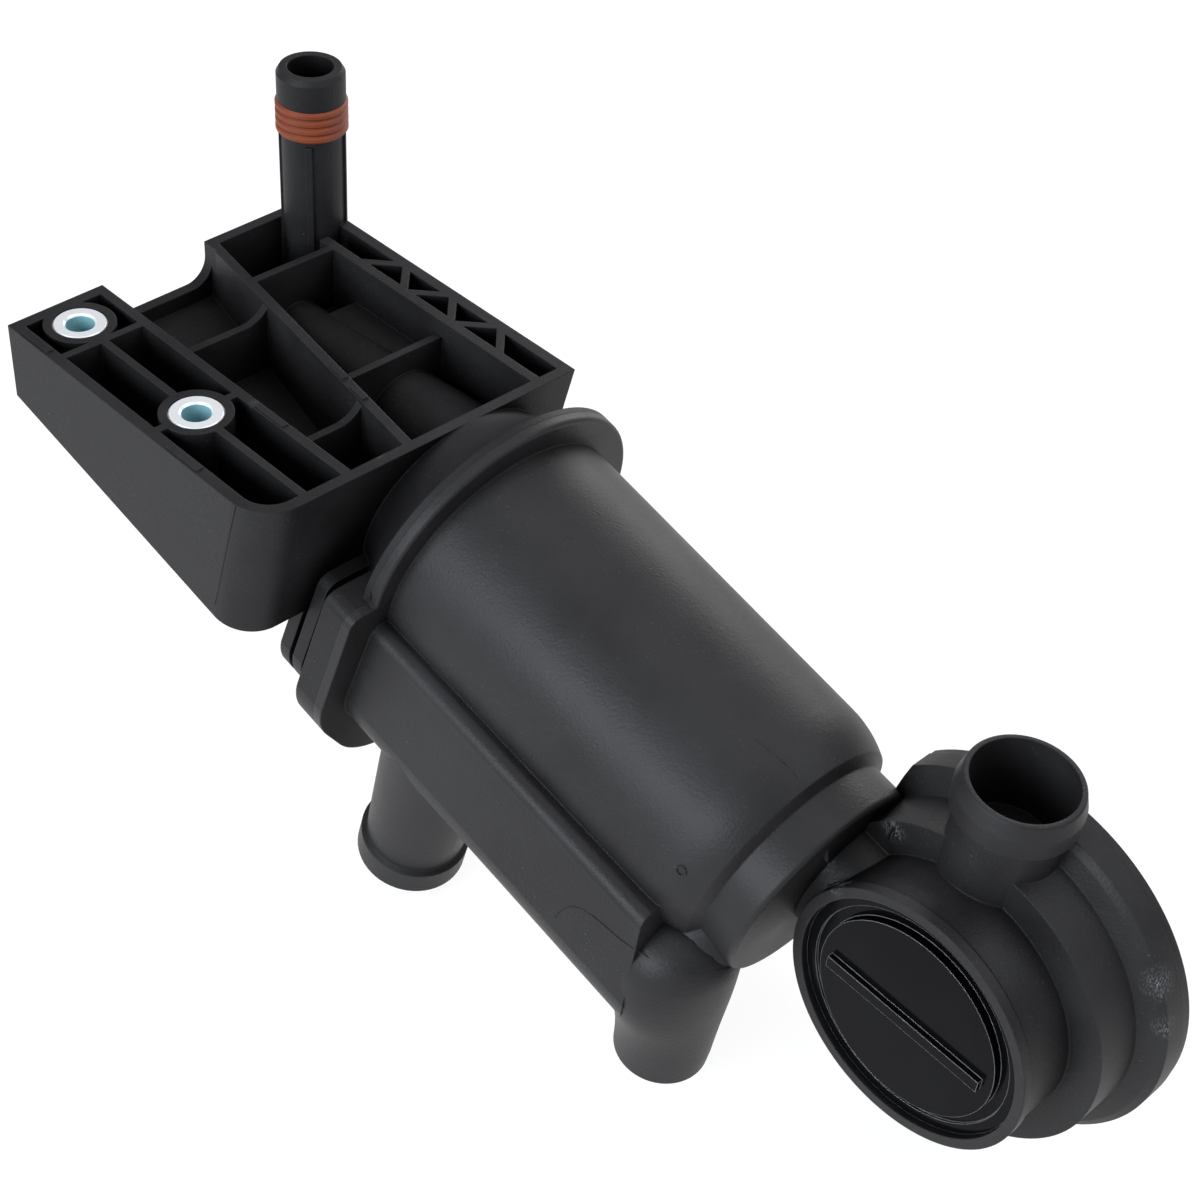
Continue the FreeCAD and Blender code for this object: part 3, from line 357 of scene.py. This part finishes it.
# The cap's pale edge tone (0.5, 0.5, 0.52) is a painted highlight on its rounded edges
black_cap = moulded(
    "black_cap", ((0.0026, 0.0026, 0.003), (0.0044, 0.0044, 0.005)), rough=(0.1, 0.2), grain=(900.0, 0.015),
    specular=0.05, dust_and_glint=0.1, edge=(0.24, 1.0, (0.5, 0.5, 0.52)))
orange_rubber = moulded(
    "orange_rubber", ((0.15, 0.028, 0.009), (0.24, 0.05, 0.016)), rough=(0.45, 0.6), grain=(1800.0, 0.14),
    specular=0.35, dust_and_glint=0.05, edge=(0.2, 0.5, (0.3, 0.07, 0.025)))
black_rubber = moulded(
    "black_rubber", ((0.012, 0.012, 0.012), (0.02, 0.02, 0.02)), rough=(0.55, 0.7), grain=(1800.0, 0.1),
    specular=0.3, dust_and_glint=0.05, edge=(0.3, 0.3, RUBBED))
inner_plastic = moulded(
    "inner_plastic", ((0.02, 0.02, 0.022), (0.035, 0.035, 0.038)), rough=(0.45, 0.6), grain=(2200.0, 0.08),
    specular=0.4, dust_and_glint=0.05, edge=(0.3, 0.3, RUBBED))
zinc_steel = metal(
    "zinc_steel", (0.9, 0.91, 0.92), rough=(0.3, 0.42), streak_scale=1400.0, turn=(1, 1, 0.12), shine=0.4,
    lit_blue_bore=True)
spring_steel = metal(
    "spring_steel", (0.6, 0.6, 0.62), rough=(0.25, 0.4), streak_scale=700.0, turn=(1, 1, 1), shine=1.0,
    lit_blue_bore=False)

FINISH = {
    "bracket_head": head_moulding, "canister": black_moulding, "valve_housing": valve_moulding,
    "diaphragm_cover": black_moulding, "valve_cap": black_cap, "spigot_seal": orange_rubber,
    "bolt_bush_near": zinc_steel, "bolt_bush_far": zinc_steel, "diaphragm": black_rubber,
    "diaphragm_plate": inner_plastic, "cyclone_tube": inner_plastic, "regulating_spring": spring_steel,
}
for name, finish in FINISH.items():
    piece = nodes[name]
    piece.data.materials.clear()
    piece.data.materials.append(finish)

# Thin parting ridges, each drawn through places on the moulding
RIDGE_R = 0.1
MERGE_WITHIN = 0.001
SMOOTH_UNDER = math.radians(35.0)
PARTING_RIDGES = {
    "witness_ridge": (black_moulding, [
        (154.8, 35.6, -20.4), (158.5, 36.1, -21.2), (162.2, 36.8, -22.4), (165.4, 37.3, -24.2),
        (168.1, 38.3, -26.7)]),
    "lobe_ridge": (black_moulding, [
        (133.1, 5.4, -69.8), (133.8, 5.7, -67.5), (135.1, 6.1, -65.4), (137.0, 6.4, -63.6),
        (139.4, 6.7, -62.5), (142.2, 6.8, -62.1), (146.2, 6.9, -62.3), (150.6, 7.0, -62.6),
        (154.1, 7.2, -62.4)]),
    "drain_ridge": (black_moulding, [
        (154.6, 7.9, -63.2), (156.6, 9.0, -64.1), (159.7, 9.9, -64.4), (162.1, 11.3, -64.9),
        (164.3, 13.5, -65.5), (165.9, 16.2, -66.2), (167.0, 19.6, -66.9), (167.4, 22.2, -67.7)]),
    "bracket_ridge": (head_moulding, [(52.7, -12.9, -0.4), (48.0, -12.9, -16.1), (43.0, -12.9, -33.1)]),
}


def fresh_primitive(name, adder, **values):
    bpy.ops.object.select_all(action="DESELECT")
    adder(**values)
    piece = bpy.context.object
    piece.name = name
    return piece


def settle(piece, finish):
    bpy.ops.object.select_all(action="DESELECT")
    piece.select_set(True)
    bpy.context.view_layer.objects.active = piece
    bpy.ops.object.transform_apply(location=True, rotation=True, scale=True)
    bpy.ops.object.mode_set(mode="EDIT")
    bpy.ops.mesh.select_all(action="SELECT")
    bpy.ops.mesh.remove_doubles(threshold=MERGE_WITHIN * MM)
    bpy.ops.mesh.normals_make_consistent(inside=False)
    bpy.ops.object.mode_set(mode="OBJECT")
    bpy.ops.object.shade_smooth_by_angle(angle=SMOOTH_UNDER)
    piece.data.materials.append(finish)
    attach(piece, BODY)


# A ridge is a six-sided bead drawn along its line by extrusion, sunk to half its thickness
def make_ridge(name, finish, line):
    spots = [Vector(spot) * MM for spot in line]
    lean = (spots[1] - spots[0]).to_track_quat("Z", "Y").to_euler()
    piece = fresh_primitive(
        name, bpy.ops.mesh.primitive_circle_add, vertices=6, radius=RIDGE_R * MM, fill_type="NGON",
        location=spots[0], rotation=lean)
    bpy.ops.object.transform_apply(location=True, rotation=True, scale=True)
    bpy.ops.object.mode_set(mode="EDIT")
    bpy.ops.mesh.select_all(action="SELECT")
    for here, there in zip(spots, spots[1:]):
        bpy.ops.mesh.extrude_region_move(TRANSFORM_OT_translate={"value": there - here})
    bpy.ops.object.mode_set(mode="OBJECT")
    settle(piece, finish)


for name, (finish, line) in PARTING_RIDGES.items():
    make_ridge(name, finish, line)


def select_faces_towards(piece, way, least):
    bpy.ops.object.mode_set(mode="EDIT")
    bpy.ops.mesh.select_all(action="DESELECT")
    bpy.ops.object.mode_set(mode="OBJECT")
    for face in piece.data.polygons:
        face.select = face.normal.dot(way) > least
    bpy.ops.object.mode_set(mode="EDIT")


# Fairing that carries the side lobe's end round into the drain pipe, drawn as rings down the pipe's axis:
# distance below the bend, half width along the canister, half width sideways, shift along, shift sideways
DRAIN_BEND = on_canister(97.4, -22.0, -20.9)
DRAIN_LEAN = math.radians(7.0)
FAIRING_RINGS = [
    (-12.4, 2.0, 2.4, -1.0, -0.4), (-11.6, 5.4, 6.4, -1.2, -0.5), (-9.4, 9.0, 10.6, -1.4, -0.6),
    (-6.0, 12.0, 13.8, -1.6, -0.6), (-1.5, 12.8, 14.8, -1.8, -0.6), (3.0, 12.9, 15.2, -1.9, -0.6),
    (7.0, 12.8, 15.2, -1.8, -0.6), (11.0, 12.5, 14.6, -1.5, -0.5), (15.0, 12.0, 13.4, -1.0, -0.4),
    (19.0, 11.5, 12.3, -0.6, -0.2), (24.0, 11.05, 11.4, -0.2, -0.1), (29.0, 10.8, 10.85, 0.0, 0.0),
    (33.0, 10.55, 10.55, 0.0, 0.0), (33.2, 10.1, 10.1, 0.0, 0.0),
]


def make_drain_fairing():
    first = FAIRING_RINGS[0]
    piece = fresh_primitive(
        "drain_fairing", bpy.ops.mesh.primitive_circle_add, vertices=56, radius=MM, fill_type="NGON")
    bpy.ops.object.mode_set(mode="EDIT")
    bpy.ops.mesh.select_all(action="SELECT")
    bpy.ops.transform.translate(value=(first[3] * MM, first[4] * MM, -first[0] * MM))
    centre = Vector((first[3], first[4], -first[0])) * MM
    bpy.ops.transform.resize(value=(first[1], first[2], 1.0), center_override=centre)
    for above, below in zip(FAIRING_RINGS, FAIRING_RINGS[1:]):
        step = Vector((below[3] - above[3], below[4] - above[4], above[0] - below[0])) * MM
        centre = centre + step
        bpy.ops.mesh.extrude_region_move(TRANSFORM_OT_translate={"value": step})
        bpy.ops.transform.resize(
            value=(below[1] / above[1], below[2] / above[2], 1.0), center_override=centre)
    bpy.ops.object.mode_set(mode="OBJECT")
    piece.rotation_euler = (0, DRAIN_LEAN, 0)
    piece.location = DRAIN_BEND * MM
    settle(piece, black_moulding)


make_drain_fairing()

# Gate mark: a shallow ring with a sunk middle on the canister's front
GATE_SPOT = Vector((157.6, 14.9, -41.8))
GATE_FACING = Vector((0.25, -0.94, 0.24)).normalized()
GATE_SIZE = {"r": 1.2, "deep": 0.5, "rim": 0.3, "sink": 0.35}


def make_gate_mark():
    lean = GATE_FACING.to_track_quat("Z", "Y").to_euler()
    piece = fresh_primitive(
        "gate_mark", bpy.ops.mesh.primitive_cylinder_add, vertices=28, radius=GATE_SIZE["r"] * MM,
        depth=GATE_SIZE["deep"] * MM, location=GATE_SPOT * MM, rotation=lean)
    bpy.ops.object.transform_apply(location=True, rotation=True, scale=True)
    select_faces_towards(piece, GATE_FACING, 0.95)
    bpy.ops.mesh.inset(thickness=GATE_SIZE["rim"] * MM)
    bpy.ops.mesh.extrude_region_move(
        TRANSFORM_OT_translate={"value": -GATE_FACING * GATE_SIZE["sink"] * MM})
    bpy.ops.object.mode_set(mode="OBJECT")
    settle(piece, black_moulding)


make_gate_mark()

# Weld flash: thin torn fins squeezed out of the joints, as (place, facing, length, height) in millimetres
FLASH_THICK = 0.3
FLASH_TEAR = 0.14
FLASH_FIRST_SEED = 3
FLASH_FINS = [
    ((175.6, 36.9, -37.6), (0.97, -0.1, 0.2), 3.4, 1.3), ((181.5, 49.7, -34.4), (0.1, -0.5, 0.86), 4.6, 0.7),
    ((182.0, 36.4, -40.6), (-0.5, -0.3, 0.8), 2.6, 0.6), ((178.8, 37.0, -43.9), (-0.6, -0.3, 0.74), 3.0, 0.6),
    ((70.4, 7.8, -24.0), (0.1, -0.98, 0.1), 1.8, 0.9),
]


def make_flash_fin(number, spot, facing, length, height):
    lean = Vector(facing).normalized().to_track_quat("Z", "X").to_euler()
    piece = fresh_primitive(
        "weld_flash_%d" % number, bpy.ops.mesh.primitive_cube_add, size=1.0, location=Vector(spot) * MM,
        rotation=lean, scale=(length * MM, FLASH_THICK * MM, height * MM))
    bpy.ops.object.transform_apply(location=True, rotation=True, scale=True)
    bpy.ops.object.mode_set(mode="EDIT")
    bpy.ops.mesh.select_all(action="SELECT")
    bpy.ops.mesh.subdivide(number_cuts=5)
    bpy.ops.transform.vertex_random(
        offset=FLASH_TEAR * MM, uniform=0.3, normal=0.3, seed=number + FLASH_FIRST_SEED)
    bpy.ops.object.mode_set(mode="OBJECT")
    settle(piece, black_moulding)


for number, (spot, facing, length, height) in enumerate(FLASH_FINS):
    make_flash_fin(number, spot, facing, length, height)

# Studio: pale floor that reads as white to the camera, soft lamps and an even sky
LOWEST = cad_box[0][2]
FLOOR_DROP = 0.002
FLOOR_SIZE = 6.0
FLOOR_GLOW = 1.12
FLOOR_GLOW_SHARE = 0.8
SKY_STRENGTH = 0.36


def make_floor():
    bpy.ops.object.select_all(action="DESELECT")
    bpy.ops.mesh.primitive_plane_add(size=FLOOR_SIZE, location=(0, 0, LOWEST - FLOOR_DROP))
    floor = bpy.context.object
    floor.name = "studio_floor"
    bpy.ops.object.transform_apply(location=True, rotation=True, scale=True)
    material = bpy.data.materials.new("studio_white")
    material.use_nodes = True
    tree = material.node_tree
    matte = tree.nodes["Principled BSDF"]
    matte.inputs["Base Color"].default_value = (0.86, 0.86, 0.87, 1)
    matte.inputs["Roughness"].default_value = 0.9
    glow = add_node(tree, "ShaderNodeEmission", (0, -200), Strength=FLOOR_GLOW)
    glow.inputs["Color"].default_value = (1, 1, 1, 1)
    path = add_node(tree, "ShaderNodeLightPath", (-400, 300))
    seen = add_node(tree, "ShaderNodeMath", (-200, 300), operation="MAXIMUM")
    share = add_node(tree, "ShaderNodeMath", (0, 300), operation="MULTIPLY")
    share.inputs[1].default_value = FLOOR_GLOW_SHARE
    blend = add_node(tree, "ShaderNodeMixShader", (250, 0))
    tree.links.new(path.outputs["Is Camera Ray"], seen.inputs[0])
    tree.links.new(path.outputs["Is Glossy Ray"], seen.inputs[1])
    tree.links.new(seen.outputs[0], share.inputs[0])
    tree.links.new(share.outputs[0], blend.inputs["Fac"])
    tree.links.new(matte.outputs["BSDF"], blend.inputs[1])
    tree.links.new(glow.outputs["Emission"], blend.inputs[2])
    tree.links.new(blend.outputs["Shader"], tree.nodes["Material Output"].inputs["Surface"])
    floor.data.materials.append(material)


def make_sky():
    world = bpy.data.worlds.new("studio_sky")
    scene.world = world
    world.use_nodes = True
    tree = world.node_tree
    sky = tree.nodes["Background"]
    sky.inputs["Color"].default_value = (0.94, 0.96, 1.0, 1)
    sky.inputs["Strength"].default_value = SKY_STRENGTH
    white = add_node(tree, "ShaderNodeBackground", (0, -200))
    white.inputs["Color"].default_value = (1, 1, 1, 1)
    path = add_node(tree, "ShaderNodeLightPath", (-300, 300))
    blend = add_node(tree, "ShaderNodeMixShader", (250, 0))
    tree.links.new(path.outputs["Is Camera Ray"], blend.inputs["Fac"])
    tree.links.new(sky.outputs["Background"], blend.inputs[1])
    tree.links.new(white.outputs["Background"], blend.inputs[2])
    tree.links.new(blend.outputs["Shader"], tree.nodes["World Output"].inputs["Surface"])


def softbox(name, place, target, size, watts, colour):
    lamp = bpy.data.lights.new(name, "AREA")
    lamp.shape = "RECTANGLE"
    lamp.size, lamp.size_y = size
    lamp.energy = watts
    lamp.color = colour
    holder = bpy.data.objects.new(name, lamp)
    scene.collection.objects.link(holder)
    holder.location = place
    holder.rotation_euler = (Vector(target) - Vector(place)).to_track_quat("-Z", "Y").to_euler()


make_floor()
make_sky()
CENTRE = (0.1, 0.04, -0.04)
softbox("front_softbox", (0.12, -0.9, 0.36), CENTRE, (0.9, 0.5), 12.0, (0.88, 0.94, 1.0))
softbox("right_softbox", (0.75, 0.5, 0.75), CENTRE, (0.9, 0.7), 4.0, (0.94, 0.97, 1.0))
softbox("top_softbox", (0.1, 0.05, 1.0), CENTRE, (0.8, 0.8), 3.0, (1.0, 1.0, 1.0))
softbox("back_softbox", (-0.25, 0.95, 0.35), CENTRE, (0.7, 0.5), 5.0, (1.0, 1.0, 1.0))

# Camera at the photograph's place
eye = bpy.data.cameras.new("photo_camera")
eye.sensor_width = 36.0
eye.lens = 68.034
eye.clip_start = 0.01
camera = bpy.data.objects.new("photo_camera", eye)
scene.collection.objects.link(camera)
camera.location = (0.353799, -0.22113, 0.288281)
camera.rotation_euler = Euler([math.radians(angle) for angle in (49.41437, -3.33039, 46.32617)], "XYZ")
scene.camera = camera
